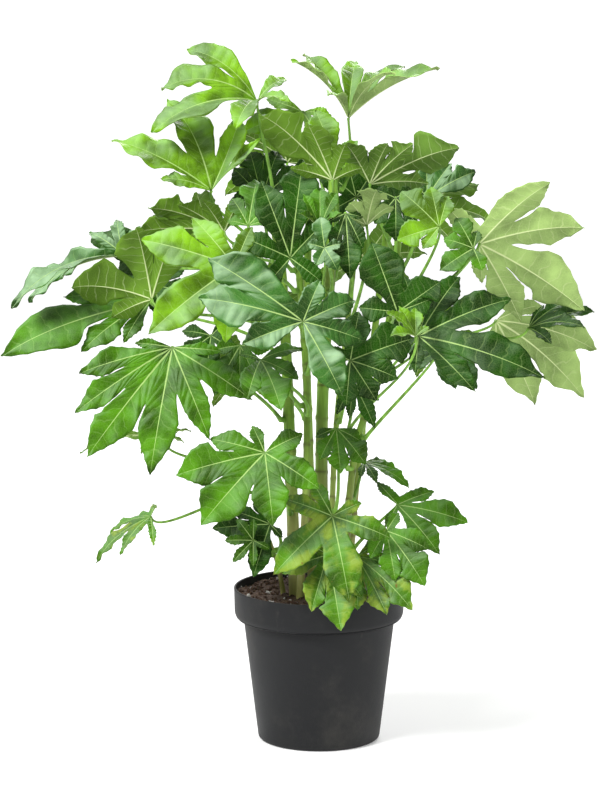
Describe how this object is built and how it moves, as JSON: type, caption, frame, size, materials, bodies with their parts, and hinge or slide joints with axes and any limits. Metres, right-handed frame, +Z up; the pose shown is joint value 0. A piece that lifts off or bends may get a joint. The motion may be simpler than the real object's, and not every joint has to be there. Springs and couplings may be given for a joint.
{
  "type": "potted fatsia",
  "caption": "Bushy evergreen house plant with large glossy hand-shaped lobed leaves on upright canes, standing in a tapered collared nursery pot.",
  "frame": {"origin": "middle of the pot's underside, on the surface it stands on", "axes": "+Z up along the pot's axis; the pictured front faces -Y; +X is to the right in the picture"},
  "size_m": [0.7202, 0.4885, 0.8542],
  "materials": {
    "leaf_mid": "glossy mid-green leaf with pale ribs, paler matte underside",
    "leaf_dark": "glossy leathery dark green leaf, paler matte underside",
    "cane": "smooth yellow-green young cane with leaf scars and brown bracts",
    "leaf_mint": "leaf with a broad pale sheen over grey-green, cream ribs",
    "leaf_lime": "young yellow-green leaf, satin",
    "leaf_mottled": "older leaf mottled yellow and green, satin",
    "pot_plastic": "anthracite moulded plastic, satin, lightly scuffed and dusty",
    "shoot": "soft green side shoot with small leaves",
    "soil": null
  },
  "bodies": {
    "root": {"back_leaf_1": "leaf_mid", "back_leaf_2": "leaf_mid", "back_leaf_3": "leaf_mid", "back_leaf_4": "leaf_dark", "back_leaf_5": "leaf_dark", "back_leaf_6": "leaf_mid", "back_leaf_7": "leaf_mid", "cane_1": "cane", "cane_2": "cane", "cane_3": "cane", "cane_4": "cane", "cane_5": "cane", "cane_6": "cane", "cane_7": "cane", "front_leaf_1": "leaf_mint", "front_leaf_2": "leaf_lime", "front_leaf_3": "leaf_dark", "front_leaf_4": "leaf_dark", "front_leaf_5": "leaf_dark", "front_leaf_6": "leaf_mid", "front_leaf_7": "leaf_mid", "front_leaf_8": "leaf_dark", "left_leaf_1": "leaf_mint", "left_leaf_2": "leaf_mid", "left_leaf_3": "leaf_mid", "left_leaf_4": "leaf_mid", "left_leaf_5": "leaf_mid", "left_leaf_6": "leaf_dark", "low_leaf_1": "leaf_dark", "low_leaf_2": "leaf_mid", "low_leaf_3": "leaf_mid", "low_leaf_4": "leaf_mid", "low_leaf_8": "leaf_mottled", "low_leaf_9": "leaf_mid", "middle_leaf_1": "leaf_lime", "middle_leaf_2": "leaf_mid", "middle_leaf_3": "leaf_mint", "middle_leaf_4": "leaf_dark", "middle_leaf_5": "leaf_lime", "middle_leaf_6": "leaf_dark", "pot": "pot_plastic", "right_leaf_1": "leaf_lime", "right_leaf_2": "leaf_lime", "right_leaf_3": "leaf_dark", "right_leaf_4": "leaf_mint", "right_leaf_5": "leaf_mid", "shoot_front": "shoot", "shoot_left": "shoot", "shoot_right": "shoot", "soil": "soil", "top_leaf_1": "leaf_mid", "top_leaf_10": "leaf_dark", "top_leaf_2": "leaf_mid", "top_leaf_3": "leaf_mid", "top_leaf_4": "leaf_lime", "top_leaf_5": "leaf_mid", "top_leaf_6": "leaf_mint", "top_leaf_7": "leaf_mint", "top_leaf_8": "leaf_mint", "top_leaf_9": "leaf_dark"}
  },
  "joints": []
}
